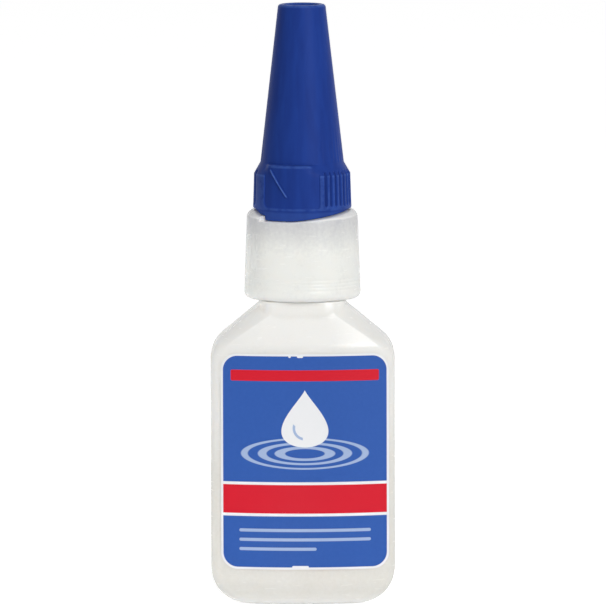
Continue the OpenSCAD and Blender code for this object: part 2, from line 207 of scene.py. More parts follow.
# %% [markdown]
# ## Milky plastic
# The bottle is blow-moulded from natural polyethylene: light enters it, scatters and leaves again, so
# shadows on it are pale and edges glow. Subsurface scattering does that. Below the level of the adhesive
# the wall is painted a little darker, a painted shade, and the other milky parts get painted shade in the
# same way. The mould leaves a fine matt grain and a soft unevenness, which a bump
# map is fine enough for, and handling leaves faint scuffs that show in the gloss only.

# %% Milky plastic for the bottle
MILKY = {
    "Subsurface Weight": 0.8,
    "Subsurface Radius": (0.85, 0.92, 1.0),
    "IOR": 1.5,
    "Specular IOR Level": 0.5,
}


def milky_plastic(name, pale, shaded, clear_z, shaded_z, scatter, tint=None):
    """Natural plastic, painted from pale at the height clear_z to a painted shade at shaded_z, with random
    mottle.
    """
    finish = Finish(name, MILKY)
    finish.shader.inputs["Subsurface Scale"].default_value = scatter * MM
    soft = finish.noise(finish.stretched(1.0, 1.0, 0.35), 0.16, 3.0)
    fine = finish.noise(finish.place, 3.2, 2.0)
    frost = finish.noise(finish.place, 1.5, 4.0)
    # Painted shade: darker from clear_z towards shaded_z, with random mottle on top
    depth = ((finish.z - clear_z) / (shaded_z - clear_z)).rise(0.0, 1.0)
    painted_shade_and_mottle = (depth * 0.8 + (soft - 0.5) * 0.5 + (frost - 0.5) * 0.5).at_least(0.0).at_most(1.0)
    colour = finish.mix(painted_shade_and_mottle, pale, shaded)
    if tint:
        colour = tint(finish, colour)
    finish.feed("Base Color", colour)
    scuff = finish.noise(finish.stretched(0.5, 0.5, 3.0), 0.7, 5.0).rise(0.62, 0.75)
    finish.feed("Roughness", 0.22 + soft * 0.08 + scuff * 0.08)
    finish.bump(fine * 0.3 + soft * 0.7, 0.05)
    print(name, "has", len(finish.tree.nodes), "nodes")
    return finish.material


# Half-sizes of the neck's foot, a rounded square, in millimetres
FOOT_X = 8.4
FOOT_Y = 9.35
# White for painted light and grey for painted shade on the milky parts
PAINTED_LIGHT_WHITE = screen(255, 255, 251)
PAINTED_SHADE_GREY = screen(222, 220, 214)


def base_and_neck(finish, colour):
    """Painted light: the base is painted whiter than the wall. Painted shade: the neck's foot, with air
    behind it, is painted a little greyer.
    """
    colour = finish.mix(1.0 - finish.z.rise(0.0, 3.0), colour, PAINTED_LIGHT_WHITE)
    across = finish.x * finish.x / FOOT_X**2
    deep = finish.y * finish.y / FOOT_Y**2
    inside_foot = 1.0 - (across * across + deep * deep).rise(1.02, 1.08)
    return finish.mix(inside_foot * finish.z.rise(53.0, 54.0) * 0.1, colour, PAINTED_SHADE_GREY)


level_z = box_mm("adhesive")[1].z
# The bottle's wall is painted darker from 7 mm above the adhesive's level to 9 mm below it, a painted shade
bottle_plastic = milky_plastic(
    "milky_bottle_plastic", screen(244, 244, 240), screen(229, 227, 219), level_z + 7.0, level_z - 9.0, 1.4,
    base_and_neck,
)

# %% [markdown]
# ## The bottle
# The body's section is a rectangle with bowed front and back and round edges. It shrinks towards the neck,
# and there its edges turn into bevelled hips with a flat facet between them at the front and the back. The
# facet runs into the neck's foot, a rounded square. The body is raised ring by ring: a ring of edges is
# extruded once for each height, and every new vertex goes to its lane's place on the section there. A
# subdivision cage would be quicker to draw, but would not keep these radii.
# The mould's parting line is a hair-thin ridge up both sides, and the base has a shallow recess.

# %% The bottle's driving sizes, in millimetres
bottle_high = box_mm("bottle")[1]
rim_z = box_mm("bottle_neck")[1].z
SEAM_LIFT = 0.06
SEAM_HALF = 0.16
WALL_H = 46.8
SHOULDER_Z = 59.0
LEDGE_Z = 59.4
FOOT_TOP_Z = 58.45
CREST_R = 8.75
NECK_R = 8.0
BORE_R = 6.2
EDGE_R = 2.5
HIP_R = 5.3
HIP_BEVEL = 0.6
FACE_BOW = 3.4
BOTTLE_WALL = 1.0
BOW_R = (bottle_high.x**2 + FACE_BOW**2) / (2 * FACE_BOW)
# Each wall: half-size, rounding at the base, height of the straight part, rounding at the shoulder,
# half-size at the shoulder's top
SIDE = (bottle_high.x - SEAM_LIFT, 7.4, WALL_H, 6.1, 6.6)
FRONT = (bottle_high.y, 5.0, WALL_H + 2.7, 3.0, 8.0)
print("bow radius", round(BOW_R, 2), "rim height", round(rim_z, 2))


# %% The section of the bottle at any height
def half_size(z, wall, inset):
    """Half the bottle's size at height z, in the direction of one wall."""
    size, base, height, turn, root = wall
    if z < base:
        return size - base + math.sqrt(max(0.0, (base - inset) ** 2 - (base - z) ** 2))
    if z <= height:
        return size - inset
    run = root - size + turn
    rise = SHOULDER_Z - height
    angle = math.atan2(rise, run) - math.acos(turn / math.hypot(run, rise))
    slope_z = height + (turn - inset) * math.sin(angle)
    if z <= slope_z:
        return size - turn + math.sqrt((turn - inset) ** 2 - (z - height) ** 2)
    slope_x = size - turn + (turn - inset) * math.cos(angle)
    top_x = root - inset / math.cos(angle)
    return slope_x + (top_x - slope_x) * (z - slope_z) / (SHOULDER_Z - slope_z)


def wall_point(lane, z, inset=0.0):
    """Where a lane of the bottle's section lies at height z."""
    kind, share, side_x, side_y = lane
    w = half_size(z, SIDE, inset)
    d = half_size(z, FRONT, inset)
    widening = max(0.0, z - WALL_H) / (SHOULDER_Z - WALL_H)
    r = EDGE_R + (HIP_R - EDGE_R) * widening - inset
    bow = BOW_R - inset
    edge_x = w - r
    edge_y = math.sqrt((bow - r) ** 2 - edge_x**2) - (bow - d)
    join = math.asin(edge_x / (bow - r))
    if kind == "bow":
        angle = join * share
        x, y = bow * math.sin(angle), bow - d - bow * math.cos(angle)
    elif kind == "edge":
        angle = join + (math.pi / 2 - join) * share
        x, y = edge_x + r * math.sin(angle), -edge_y - r * math.cos(angle)
        bevel = HIP_BEVEL * math.sin(math.pi * min(1.0, widening))
        chord_x = edge_x + r * (math.sin(join) * (1.0 - share) + share)
        chord_y = -edge_y - r * math.cos(join) * (1.0 - share)
        x, y = x + (chord_x - x) * bevel, y + (chord_y - y) * bevel
    elif kind == "side":
        x, y = w, share * edge_y
    else:
        x, y = w + (SEAM_LIFT if share == 0 and inset == 0 else 0.0), share
    return Vector((side_x * x, side_y * y, z))


def section_lanes():
    """The lanes of the section, counter-clockwise from the middle of the front."""
    quarter = [("bow", i / 14) for i in range(14)] + [("bow", 0.975), ("edge", 0.0), ("edge", 0.04)]
    quarter += [("edge", i / 10) for i in range(1, 11)]
    flank = [("side", -0.5), ("seam", -SEAM_HALF), ("seam", 0.0), ("seam", SEAM_HALF), ("side", 0.5)]
    right = [(kind, share, 1, 1) for kind, share in quarter + flank]
    right += [(kind, share, 1, -1) for kind, share in reversed(quarter)]
    left = [(kind, share, -1, side_y) for kind, share, _, side_y in reversed(right[1:-1])]
    return right + left


lanes = section_lanes()
print("lanes round the bottle:", len(lanes))


# %% Raise a ring of edges through a row of rings
def start_ring(bm, points):
    """A closed ring of edges through these points. Each vertex keeps its lane's number."""
    lane = bm.verts.layers.int.new("lane")
    verts = bmesh.ops.create_circle(bm, segments=len(points), radius=1.0)["verts"]
    for index, vert in enumerate(verts):
        vert[lane] = index
        vert.co = points[index]
    return list({edge for vert in verts for edge in vert.link_edges}), lane


def raise_rings(bm, edges, lane, rings):
    """Extrudes the edges once for each ring, and puts each new vertex on its lane's point."""
    for ring in rings:
        made = bmesh.ops.extrude_edge_only(bm, edges=edges)["geom"]
        edges = [part for part in made if isinstance(part, bmesh.types.BMEdge)]
        for vert in {vert for edge in edges for vert in edge.verts}:
            vert.co = ring[vert[lane]]
    return edges


def make_piece(bm, name, material, body, nodes, sharp=40.0):
    """Closes a mesh made in millimetres and lets it stand for CAD nodes, as a piece in metres."""
    bmesh.ops.remove_doubles(bm, verts=bm.verts, dist=1e-4)
    bmesh.ops.recalc_face_normals(bm, faces=bm.faces)
    bmesh.ops.scale(bm, vec=(MM, MM, MM), verts=bm.verts)
    for layer in bm.verts.layers.int.values():
        bm.verts.layers.int.remove(layer)
    open_edges = sum(1 for edge in bm.edges if len(edge.link_faces) != 2)
    mesh = bpy.data.meshes.new(name)
    bm.to_mesh(mesh)
    bm.free()
    mesh.shade_smooth()
    mesh.set_sharp_from_angle(angle=math.radians(sharp))
    mesh.materials.append(material)
    piece = bpy.data.objects.new(name, mesh)
    bpy.context.scene.collection.objects.link(piece)
    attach(piece, body)
    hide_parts(*nodes)
    size = [round(v / MM, 2) for v in piece.dimensions]
    print(name, size, "mm,", len(mesh.polygons), "faces,", open_edges, "open edges")
    return piece


# %% The screw thread
THREAD_PITCH = 3.0
THREAD_TURNS = 2.283
THREAD_RIM_GAP = 1.2
THREAD_START_Z = rim_z - THREAD_RIM_GAP - THREAD_TURNS * THREAD_PITCH
THREAD_STEPS = 72
# Half-heights of the ridge at its root and its crest, and how deep its root lies in the wall
ROOT_HALF = 0.75
CREST_HALF = 0.39
ROOT_DEPTH = 0.3
# Radians over which the ridge sinks into the wall at each end, and how far it goes below the surface there
THREAD_FADE = 0.52
THREAD_SINK = 0.12


def thread_ridge(bm, root_r, crest_r, start_z):
    """A thread: the section of a ridge, spun round the axis and lifted a little at each step."""
    before = set(bm.verts)
    out = math.copysign(1.0, crest_r - root_r)
    inner = root_r - out * ROOT_DEPTH
    section = [(inner, -ROOT_HALF), (crest_r, -CREST_HALF), (crest_r, CREST_HALF), (inner, ROOT_HALF)]
    verts = [bm.verts.new((r, 0.0, start_z + h)) for r, h in section]
    edges = [bm.edges.new((verts[i], verts[(i + 1) % 4])) for i in range(4)]
    bmesh.ops.contextual_create(bm, geom=edges)
    whole = 2 * math.pi * THREAD_TURNS
    steps = round(THREAD_TURNS * THREAD_STEPS)
    lift = (0.0, 0.0, THREAD_PITCH * THREAD_TURNS / steps)
    last = bmesh.ops.spin(
        bm, geom=verts + edges, axis=(0, 0, 1), dvec=lift, angle=whole, steps=steps, use_merge=False
    )["geom_last"]
    bmesh.ops.contextual_create(bm, geom=[part for part in last if isinstance(part, bmesh.types.BMEdge)])
    ridge = [vert for vert in bm.verts if vert not in before]
    bmesh.ops.remove_doubles(bm, verts=ridge, dist=1e-4)
    for vert in [vert for vert in bm.verts if vert not in before]:
        radius = math.hypot(vert.co.x, vert.co.y)
        turn = math.atan2(vert.co.y, vert.co.x) % (2 * math.pi)
        lap = round((vert.co.z - start_z) / THREAD_PITCH - turn / (2 * math.pi))
        along = turn + 2 * math.pi * lap
        height = max(0.0, min(1.0, along / THREAD_FADE, (whole - along) / THREAD_FADE))
        low = root_r - out * THREAD_SINK
        on_crest = abs(radius - inner) > 0.2
        if on_crest:
            wanted = low + (radius - low) * height
            vert.co.x *= wanted / radius
            vert.co.y *= wanted / radius
    print("thread of", THREAD_TURNS, "turns from height", round(start_z, 2))


# %% Build the bottle and its neck as one moulding
def height_at_foot(lane, share):
    """The height at which a lane of the shoulder comes in to this share of the neck's foot."""
    low, high = WALL_H, SHOULDER_Z
    for _ in range(40):
        middle = (low + high) / 2
        point = wall_point(lane, middle)
        if (point.x / FOOT_X) ** 4 + (point.y / FOOT_Y) ** 4 > share**4:
            low = middle
        else:
            high = middle
    return low


def neck_ring(radius, z):
    """A circle of the neck, with its vertices in line with the lanes."""
    return [Vector((radius * math.cos(a), radius * math.sin(a), z)) for a in lane_angles]


ROOT_FILLET = 0.35
BASE_RIM = 1.6
RECESS_SLOPE = 0.9
RECESS_DEPTH = 0.55
PINCH_SIZE = (11.0, 0.4, 0.3)
PINCH_Z = 0.5
foot_points = [wall_point(lane, height_at_foot(lane, 1.0 + ROOT_FILLET / FOOT_Y)) for lane in lanes]
root_points = [wall_point(lane, height_at_foot(lane, 1.0)) for lane in lanes]
lane_angles = [math.atan2(point.y, point.x) for point in root_points]


def fillet_ring(share):
    """A ring of the curve that leads from the shoulder into the upright neck."""
    ring = []
    for foot, corner in zip(foot_points, root_points):
        top = corner + Vector((0, 0, ROOT_FILLET))
        ring.append(foot.lerp(corner, share).lerp(corner.lerp(top, share), share))
    return ring


base_r = SIDE[1]
base_heights = [base_r * (1 - math.cos(math.pi * i / 36)) for i in range(1, 19)]
outside = [[wall_point(lane, z) for lane in lanes] for z in base_heights]
outside += [[wall_point(lane, z) for lane in lanes] for z in (14, 20, 26, 32, 38, 43, WALL_H)]
outside += [
    [wall_point(lane, WALL_H + (foot.z - WALL_H) * i / 28) for lane, foot in zip(lanes, foot_points)]
    for i in range(1, 29)
]
outside += [fillet_ring(i / 5) for i in range(1, 6)]
outside += [
    [Vector((root.x * share, root.y * share, FOOT_TOP_Z - drop)) for root in root_points]
    for share, drop in ((1.0, 0.15), (0.995, 0.05), (0.984, 0.0))
]
NECK_PROFILE = [
    (CREST_R + 0.05, FOOT_TOP_Z), (CREST_R, FOOT_TOP_Z + 0.1),
    (CREST_R, LEDGE_Z - 0.25), (CREST_R - 0.07, LEDGE_Z - 0.07), (CREST_R - 0.25, LEDGE_Z),
    (NECK_R + 0.25, LEDGE_Z), (NECK_R + 0.07, LEDGE_Z + 0.07), (NECK_R, LEDGE_Z + 0.25),
    (NECK_R, rim_z - 0.4), (NECK_R - 0.12, rim_z - 0.12), (NECK_R - 0.4, rim_z),
    (BORE_R + 0.3, rim_z), (BORE_R + 0.09, rim_z - 0.09), (BORE_R, rim_z - 0.3),
    (BORE_R, SHOULDER_Z - 0.2),
]
neck = [neck_ring(radius, z) for radius, z in NECK_PROFILE]
INSIDE_Z = [57.4, 56.4, 55, 53.6, 52.4, 51.4, 50.4, 49.4, 48.4, WALL_H, 36, 24, 14, base_r]
INSIDE_Z += [base_r - (base_r - BOTTLE_WALL) * math.sin(math.pi * i / 20) for i in range(1, 11)]
inside = [[wall_point(lane, z, BOTTLE_WALL) for lane in lanes] for z in INSIDE_Z]

bm = bmesh.new()
ring, lane_layer = start_ring(bm, [wall_point(lane, 0.0) for lane in lanes])
last_ring = raise_rings(bm, ring, lane_layer, outside + neck + inside)
bmesh.ops.contextual_create(bm, geom=last_ring)
base = bmesh.ops.contextual_create(bm, geom=ring)["faces"]
for thickness in (BASE_RIM, RECESS_SLOPE):
    bmesh.ops.inset_region(bm, faces=base, thickness=thickness, use_even_offset=True)
bmesh.ops.translate(bm, verts=base[0].verts[:], vec=(0, 0, RECESS_DEPTH))
pinch = bmesh.ops.create_cube(bm, size=1.0)["verts"]
bmesh.ops.scale(bm, vec=PINCH_SIZE, verts=pinch)
bmesh.ops.translate(bm, vec=(0, 0, PINCH_Z), verts=pinch)
thread_ridge(bm, NECK_R, CREST_R, THREAD_START_Z)
make_piece(bm, "bottle_shell", bottle_plastic, "bottle", ["bottle", "bottle_neck"], 50.0)

# %% [markdown]
# ## The adhesive
# A faintly straw-coloured liquid fills a little over half of the bottle. It shows only through the wall,
# so its CAD solid stays and gets a finish: glossy, and a little cloudy in places.

# %% Finish of the adhesive
clear = Finish("clear_adhesive", {"IOR": 1.45, "Roughness": 0.06, "Coat Weight": 0.4})
cloud = clear.noise(clear.place, 0.12, 3.0)
clear.feed("Base Color", clear.mix(cloud.rise(0.35, 0.7), screen(238, 231, 205), screen(226, 214, 178)))
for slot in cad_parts["adhesive"].material_slots:
    slot.material = clear.material
print("adhesive level at", round(level_z, 1), "mm")

# %% [markdown]
# ## The labels
# A label is a thin printed film with round corners, stuck on the bowed wall. It starts as a flat sheet of
# four vertices, whose corners are bevelled. Cuts across it let it bend, then it gets its thickness.
# The print is drawn by the material: masks made from distances in millimetres choose between inks, so
# the edges stay sharp at any size. The design is a generic one, a drop over ripples.


# %% A film on the bowed wall
FILM_CORNER = 3.2
FILM_THICK = 0.12
FILM_GAP = 0.03
FILM_STRIPS = 48


def label_film(node, name, material, front):
    """A film the size of a CAD label, bent on the front or the back of the bottle."""
    low, high = box_mm(node)
    bm = bmesh.new()
    sheet = bmesh.ops.create_grid(bm, x_segments=1, y_segments=1, size=1.0)["verts"]
    for vert in sheet:
        vert.co = Vector((high.x if vert.co.x > 0 else low.x, 0.0, high.z if vert.co.y > 0 else low.z))
    bmesh.ops.bevel(
        bm, geom=sheet, offset=FILM_CORNER, segments=14, profile=0.5, affect="VERTICES", material=-1
    )
    for i in range(1, FILM_STRIPS):
        cut = low.x + (high.x - low.x) * i / FILM_STRIPS
        parts = bm.verts[:] + bm.edges[:] + bm.faces[:]
        bmesh.ops.bisect_plane(bm, geom=parts, plane_co=(cut, 0, 0), plane_no=(1, 0, 0))
    film_r = BOW_R + FILM_GAP
    faces = bm.faces[:]
    rim = [edge for edge in bm.edges if len(edge.link_faces) == 1]
    back = bmesh.ops.duplicate(bm, geom=faces)
    inner = {part for part in back["geom"] if isinstance(part, bmesh.types.BMVert)}
    twin_rim = [back["edge_map"][edge] for edge in rim]
    for vert in bm.verts:
        radius = film_r if vert in inner else film_r + FILM_THICK
        x = vert.co.x
        y = bottle_high.y - BOW_R + math.sqrt(radius**2 - x**2)
        vert.co.y = -y if front else y
    bmesh.ops.bridge_loops(bm, edges=rim + twin_rim)
    return make_piece(bm, name, material, "bottle", [node], 60.0)


# %% Inks and masks of the front label
def round_box(u, v, half_u, half_v, corner):
    """Distance to the edge of a rectangle with round corners, negative inside."""
    du = abs(u) - (half_u - corner)
    dv = abs(v) - (half_v - corner)
    out_u = du.at_least(0.0)
    out_v = dv.at_least(0.0)
    return (out_u * out_u + out_v * out_v).root() + du.at_least(dv).at_most(0.0) - corner


def inked(distance, soft=0.04):
    """1 where the distance is negative, with a soft edge."""
    return 1.0 - distance.rise(-soft, soft)


def drop_mask(u, v, half_height, width):
    """A falling drop with its tip up, centred on u = v = 0."""
    height = (v / half_height).at_least(-1.0).at_most(1.0)
    half_width = width * (1.0 - height * height).at_least(0.0).root()
    half_width = half_width * ((1.0 - height) * 0.5) ** 0.8
    return inked(abs(u) - half_width + 0.06)


def ripple_mask(u, v, across, deep, line):
    """An elliptical ring, as on a liquid where a drop falls in."""
    reach = ((u / across) * (u / across) + (v / deep) * (v / deep)).root()
    return inked(abs(reach - 1.0) * deep - line)


def place_on_film(finish, low, high):
    """Place across and up the film from its middle, and half the film's width and height."""
    u = finish.x - (high.x + low.x) / 2
    v = finish.z - (high.z + low.z) / 2
    return u, v, (high.x - low.x) / 2, (high.z - low.z) / 2


# Layout of the front label in millimetres from its middle. A ripple is half-width, half-height and half
# its line, a nick is where it lies and half its width, and a line of the foot is its depth and half-length
FILM_LOOK = {"IOR": 1.5, "Specular IOR Level": 0.15}
BORDER = 0.42
GROUND_CORNER = 2.8
HEADER_V = 16.6
HEADER_HALF = (14.2, 1.05)
DROP_V = 8.4
DROP_HALF = (5.6, 6.6)
GLINT_V = 6.5
GLINT_R = 2.1
RIPPLE_V = 1.6
RIPPLES = ((11.6, 2.9, 0.16), (8.2, 2.0, 0.2), (4.8, 1.15, 0.24))
BAND_DOWN = 7.2
WHITE_BAND_HALF = 3.3
RED_BAND_HALF = 2.75
FOOT_LINES = ((13.2, 12.6), (15.0, 12.6), (16.8, 7.4))


def printed_film(name, low, high):
    """Blue film with a pale border, a red header and band, a drop over ripples and plain lines."""
    finish = Finish(name, FILM_LOOK)
    u, v, half_u, half_v = place_on_film(finish, low, high)
    white = screen(243, 244, 246)
    blue = screen(54, 97, 179)
    red = screen(217, 30, 49)
    pale = screen(168, 188, 222)
    density = finish.noise(finish.place, 1.6, 3.0)
    edge_v = half_v - BORDER
    ground = round_box(u, v, half_u - BORDER, edge_v, GROUND_CORNER)
    nicks = ((-0.9, -edge_v, 1.6), (-2.9, edge_v, 0.25), (-0.9, edge_v, 0.6))
    for nick_u, nick_v, nick_half in nicks:
        nick = round_box(u - nick_u, v - nick_v, nick_half, 0.3, 0.25)
        ground = ground.at_least(-1.0 * nick)
    ground = inked(ground)
    colour = finish.mix(ground, white, finish.mix(density, blue, screen(50, 91, 172)))
    header = inked(round_box(u, v - HEADER_V, *HEADER_HALF, 0.3))
    colour = finish.mix(header, colour, red)
    for across, deep, line in RIPPLES:
        colour = finish.mix(ripple_mask(u, v - RIPPLE_V, across, deep, line), colour, pale)
    colour = finish.mix(drop_mask(u, v - DROP_V, *DROP_HALF), colour, white)
    middle_v = v - GLINT_V
    glint = inked(abs((u * u + middle_v * middle_v).root() - GLINT_R) - 0.24)
    glint = glint * (1.0 - (u + middle_v).rise(-1.6, -1.3)) * (1.0 - u.rise(-0.5, -0.3))
    colour = finish.mix(glint, colour, pale)
    for half, ink in ((WHITE_BAND_HALF, white), (RED_BAND_HALF, red)):
        band = inked(round_box(u, v + BAND_DOWN, half_u, half, 0.01)) * ground
        colour = finish.mix(band, colour, ink)
    longest = FOOT_LINES[0][1]
    for row, length in FOOT_LINES:
        line = inked(round_box(u + (longest - length), v + row, length, 0.3, 0.29))
        colour = finish.mix(line, colour, pale)
    finish.feed("Base Color", colour)
    finish.feed("Roughness", 0.3 + density * 0.1)
    finish.bump(finish.noise(finish.place, 0.7, 2.0), 0.03)
    print(name, "has", len(finish.tree.nodes), "nodes")
    return finish.material


front_film = printed_film("printed_front_film", *box_mm("front_label"))
label_film("front_label", "front_label_film", front_film, True)


# %% The back label
def plain_film(name, low, high):
    """A white film with a blue frame, a blue head and rows of grey bars."""
    finish = Finish(name, FILM_LOOK)
    u, v, half_u, half_v = place_on_film(finish, low, high)
    density = finish.noise(finish.place, 1.6, 3.0)
    colour = finish.mix(density, screen(240, 241, 243), screen(234, 236, 239))
    edge = round_box(u, v, half_u - 0.9, half_v - 0.9, 2.4)
    frame_line = inked(abs(edge) - 0.2)
    head = inked(round_box(u, v - (half_v - 5.2), half_u - 2.6, 2.2, 0.5))
    for mask in (frame_line, head):
        colour = finish.mix(mask, colour, screen(60, 97, 174))
    row = finish.maths("PINGPONG", v, 0.9)
    inside = inked(round_box(u, v + 2.6, half_u - 2.8, half_v - 7.4, 0.1))
    bars = inked(0.62 - row) * inside
    colour = finish.mix(bars, colour, screen(150, 155, 166))
    finish.feed("Base Color", colour)
    finish.feed("Roughness", 0.36 + density * 0.1)
    finish.bump(finish.noise(finish.place, 0.7, 2.0), 0.03)
    return finish.material


back_film = plain_film("printed_back_film", *box_mm("back_label"))
label_film("back_label", "back_label_film", back_film, False)

# %% [markdown]
# ## The screw collar
# The collar is a thick milky ring that screws on the neck. Its top is a cam: low at the front, then a ramp,
# then a high stretch with a well-rounded outer edge, and a step back down. A plain lathe can't make that,
# because its section changes on the way round, so the section is swept: it is extruded once for each
# angle and put where that angle's section lies. Inside is the thread, and a spigot for the cap on top.

# %% The cam that collar and cap share
STEP_ANGLE = -52.0
DWELL = 40.0
RAMP = 92.0
CAM_RISE = 1.8
CAM_FALL = 0.9
FALL_ANGLE = 28.8
COLLAR_TOP_Z = 75.6
CAM_LOW_Z = COLLAR_TOP_Z - CAM_RISE


def ease(share):
    """A smooth step from 0 to 1."""
    share = max(0.0, min(1.0, share))
    return share * share * (3 - 2 * share)


def cam_height(angle):
    """Height of the collar's cam face at an angle from the front, in degrees."""
    phase = (angle - STEP_ANGLE) % 180.0
    if phase < DWELL:
        return CAM_LOW_Z
    if phase < DWELL + RAMP:
        share = (phase - DWELL) / RAMP
        return CAM_LOW_Z + CAM_RISE * (0.6 * share + 0.4 * ease(share))
    return COLLAR_TOP_Z - CAM_FALL * ease((phase - 180.0 + FALL_ANGLE) / FALL_ANGLE)


def turned(radius, z, angle):
    """A point at this radius and height, at an angle from the front."""
    a = math.radians(angle)
    return Vector((radius * math.sin(a), -radius * math.cos(a), z))


def arc(centre_r, centre_z, radius, start, end, steps):
    """Points of a round corner in a section, from one angle to another."""
    points = []
    for i in range(steps + 1):
        a = math.radians(start + (end - start) * i / steps)
        points.append((centre_r + radius * math.cos(a), centre_z + radius * math.sin(a)))
    return points


# %% Build the collar
collar_low, collar_high = box_mm("screw_collar")
COLLAR_IN_R = 9.0
COLLAR_TOP_R = 10.6
COLLAR_FLARE = 0.65
SPIGOT_IN_R = 6.46
SPIGOT_R = 7.56
LIP_Z = 72.1
COLLAR_FOOT_ROUND = 1.3
GROOVE_ROWS = (60.7, 61.35, 62.0, 62.65)
GROOVE_HALF = 0.16
GROOVE_DEPTH = 0.05


def collar_side(z):
    """Radius of the collar's side, which flares a little to its foot. The height may be a shader's."""
    return COLLAR_TOP_R + COLLAR_FLARE * (COLLAR_TOP_Z - z) / (COLLAR_TOP_Z - collar_low.z)


def collar_section(angle):
    """The collar's section at one angle, from its foot up the outside and down the inside."""
    top = cam_height(angle)
    round_r = 0.22 + 1.28 * ease((top - CAM_LOW_Z) / CAM_RISE)
    foot_z = collar_low.z
    points = [(COLLAR_IN_R, foot_z + 0.3), (COLLAR_IN_R + 0.09, foot_z + 0.09), (COLLAR_IN_R + 0.3, foot_z)]
    corner_z = foot_z + COLLAR_FOOT_ROUND
    corner_r = collar_side(corner_z) - COLLAR_FOOT_ROUND
    points += arc(corner_r, corner_z, COLLAR_FOOT_ROUND, -90, 2, 8)
    for groove_z in GROOVE_ROWS:
        for offset, depth in ((-GROOVE_HALF, 0.0), (0.0, GROOVE_DEPTH), (GROOVE_HALF, 0.0)):
            points += [(collar_side(groove_z + offset) - depth, groove_z + offset)]
    points += [(collar_side(z), z) for z in (64, 67, 70)]
    points += arc(collar_side(top - round_r) - round_r, top - round_r, round_r, 2, 90, 8)
    points += [(SPIGOT_R + 0.4, top), (SPIGOT_R + 0.12, top + 0.12), (SPIGOT_R, top + 0.4)]
    top = collar_high.z
    points += [(SPIGOT_R, top - 0.6), (SPIGOT_R - 0.1, top - 0.2), (SPIGOT_R - 0.35, top)]
    points += [(SPIGOT_IN_R + 0.2, top), (SPIGOT_IN_R + 0.06, top - 0.06), (SPIGOT_IN_R, top - 0.2)]
    points += [(SPIGOT_IN_R, LIP_Z + 0.2), (SPIGOT_IN_R + 0.2, LIP_Z)]
    points += [(COLLAR_IN_R - 0.3, LIP_Z), (COLLAR_IN_R - 0.09, LIP_Z - 0.09), (COLLAR_IN_R, LIP_Z - 0.3)]
    return [turned(radius, z, angle) for radius, z in points]


def angles_with(extra):
    """Angles for one turn from the cam's step, every two degrees and at the extra places of each half."""
    half = [i * 2.0 for i in range(90)] + [e % 180.0 for e in extra]
    half = sorted({round(a, 3) for a in half})
    return [STEP_ANGLE + a for a in half] + [STEP_ANGLE + 180.0 + a for a in half] + [STEP_ANGLE + 360.0]


def painted_cam_and_foot_light(finish, colour):
    """Painted highlight along the rounded edge and top of the cam's low stretch, and painted light on the
    foot, where it lessens the shadow line.
    """
    low_stretch = finish.z.rise(72.0, 73.0) * (1.0 - finish.z.rise(73.9, 74.8) * 0.75)
    cam = (collar_side(finish.z) - finish.from_axis()).rise(0.02, 0.14) * low_stretch
    foot = 1.0 - finish.z.rise(58.6, 59.4)
    return finish.mix(cam.at_least(foot), colour, PAINTED_LIGHT_WHITE)


# The collar is painted darker from 66 mm up to its top, a painted shade under the cap
collar_plastic = milky_plastic(
    "milky_collar_plastic", screen(243, 244, 239), screen(197, 197, 201), 66.0, 75.5, 1.8, painted_cam_and_foot_light
)
collar_angles = angles_with([-0.6, -0.12, 0.02, 0.5, 1.0])
bm = bmesh.new()
ring, lane_layer = start_ring(bm, collar_section(collar_angles[0]))
raise_rings(bm, ring, lane_layer, [collar_section(a) for a in collar_angles[1:]])
bmesh.ops.remove_doubles(bm, verts=bm.verts, dist=1e-4)
thread_ridge(bm, COLLAR_IN_R, NECK_R + 0.25, THREAD_START_Z - THREAD_PITCH / 2)
make_piece(bm, "collar_ring", collar_plastic, "collar", ["screw_collar"], 40.0)

# %% [markdown]
# ## The spout
# Under the cap is a tapered spout of soft plastic with a fine bore. It is round, so half of its section is
# drawn as a chain of vertices, its corners are bevelled, and a spin of a full turn makes the solid.


# %% A lathe
def lathe(bm, points, rounding, steps=96):
    """Spins a chain of (radius, height) points round the axis after rounding some of its corners."""
    verts = [bm.verts.new((radius, 0.0, z)) for radius, z in points]
    for first, second in zip(verts, verts[1:]):
        bm.edges.new((first, second))
    if points[0][0] > 0 and points[-1][0] > 0:
        bm.edges.new((verts[-1], verts[0]))
    for index, width in rounding.items():
        bmesh.ops.bevel(
            bm, geom=[verts[index]], offset=width, segments=4, profile=0.5, affect="VERTICES", material=-1
        )
    bmesh.ops.spin(
        bm, geom=bm.verts[:] + bm.edges[:], axis=(0, 0, 1), angle=2 * math.pi, steps=steps, use_merge=True
    )


spout_low, spout_high = box_mm("spout")
# The spout is painted darker towards its top inside the cap, a painted shade
spout_plastic = milky_plastic(
    "milky_spout_plastic", screen(240, 241, 237), screen(228, 228, 224), 72.0, 108.0, 1.4
)
SPOUT_SECTION = [
    (5.04, spout_low.z), (6.14, spout_low.z), (6.14, 70.55), (8.0, 70.55), (8.0, 72.05), (6.4, 72.05),
    (6.4, 80.4), (5.8, 80.4), (5.36, 83.0), (5.1, 83.0), (1.75, 103.6), (1.62, 103.6),
    (1.4, spout_high.z), (0.6, spout_high.z), (0.6, 97.1), (4.6, 80.4), (5.04, 70.55),
]
bm = bmesh.new()
lathe(bm, SPOUT_SECTION, {1: 0.3, 4: 0.2, 6: 0.25, 7: 0.2, 12: 0.25, 13: 0.1})
make_piece(bm, "spout_nozzle", spout_plastic, "spout", ["spout"], 40.0)

# %% [markdown]
# ## The cap
# The cap is one moulding of blue plastic. A long cone stands on a skirt with a smooth sunk panel in a raised
# frame, and rows of narrow flutes for the fingers. The flutes fade out on the foot of the cone.
# Below the skirt a sleeve follows the collar's cam. The section is swept as the collar's is, and the
# radius at each angle and height takes in the panel and the flutes, so they are real relief.

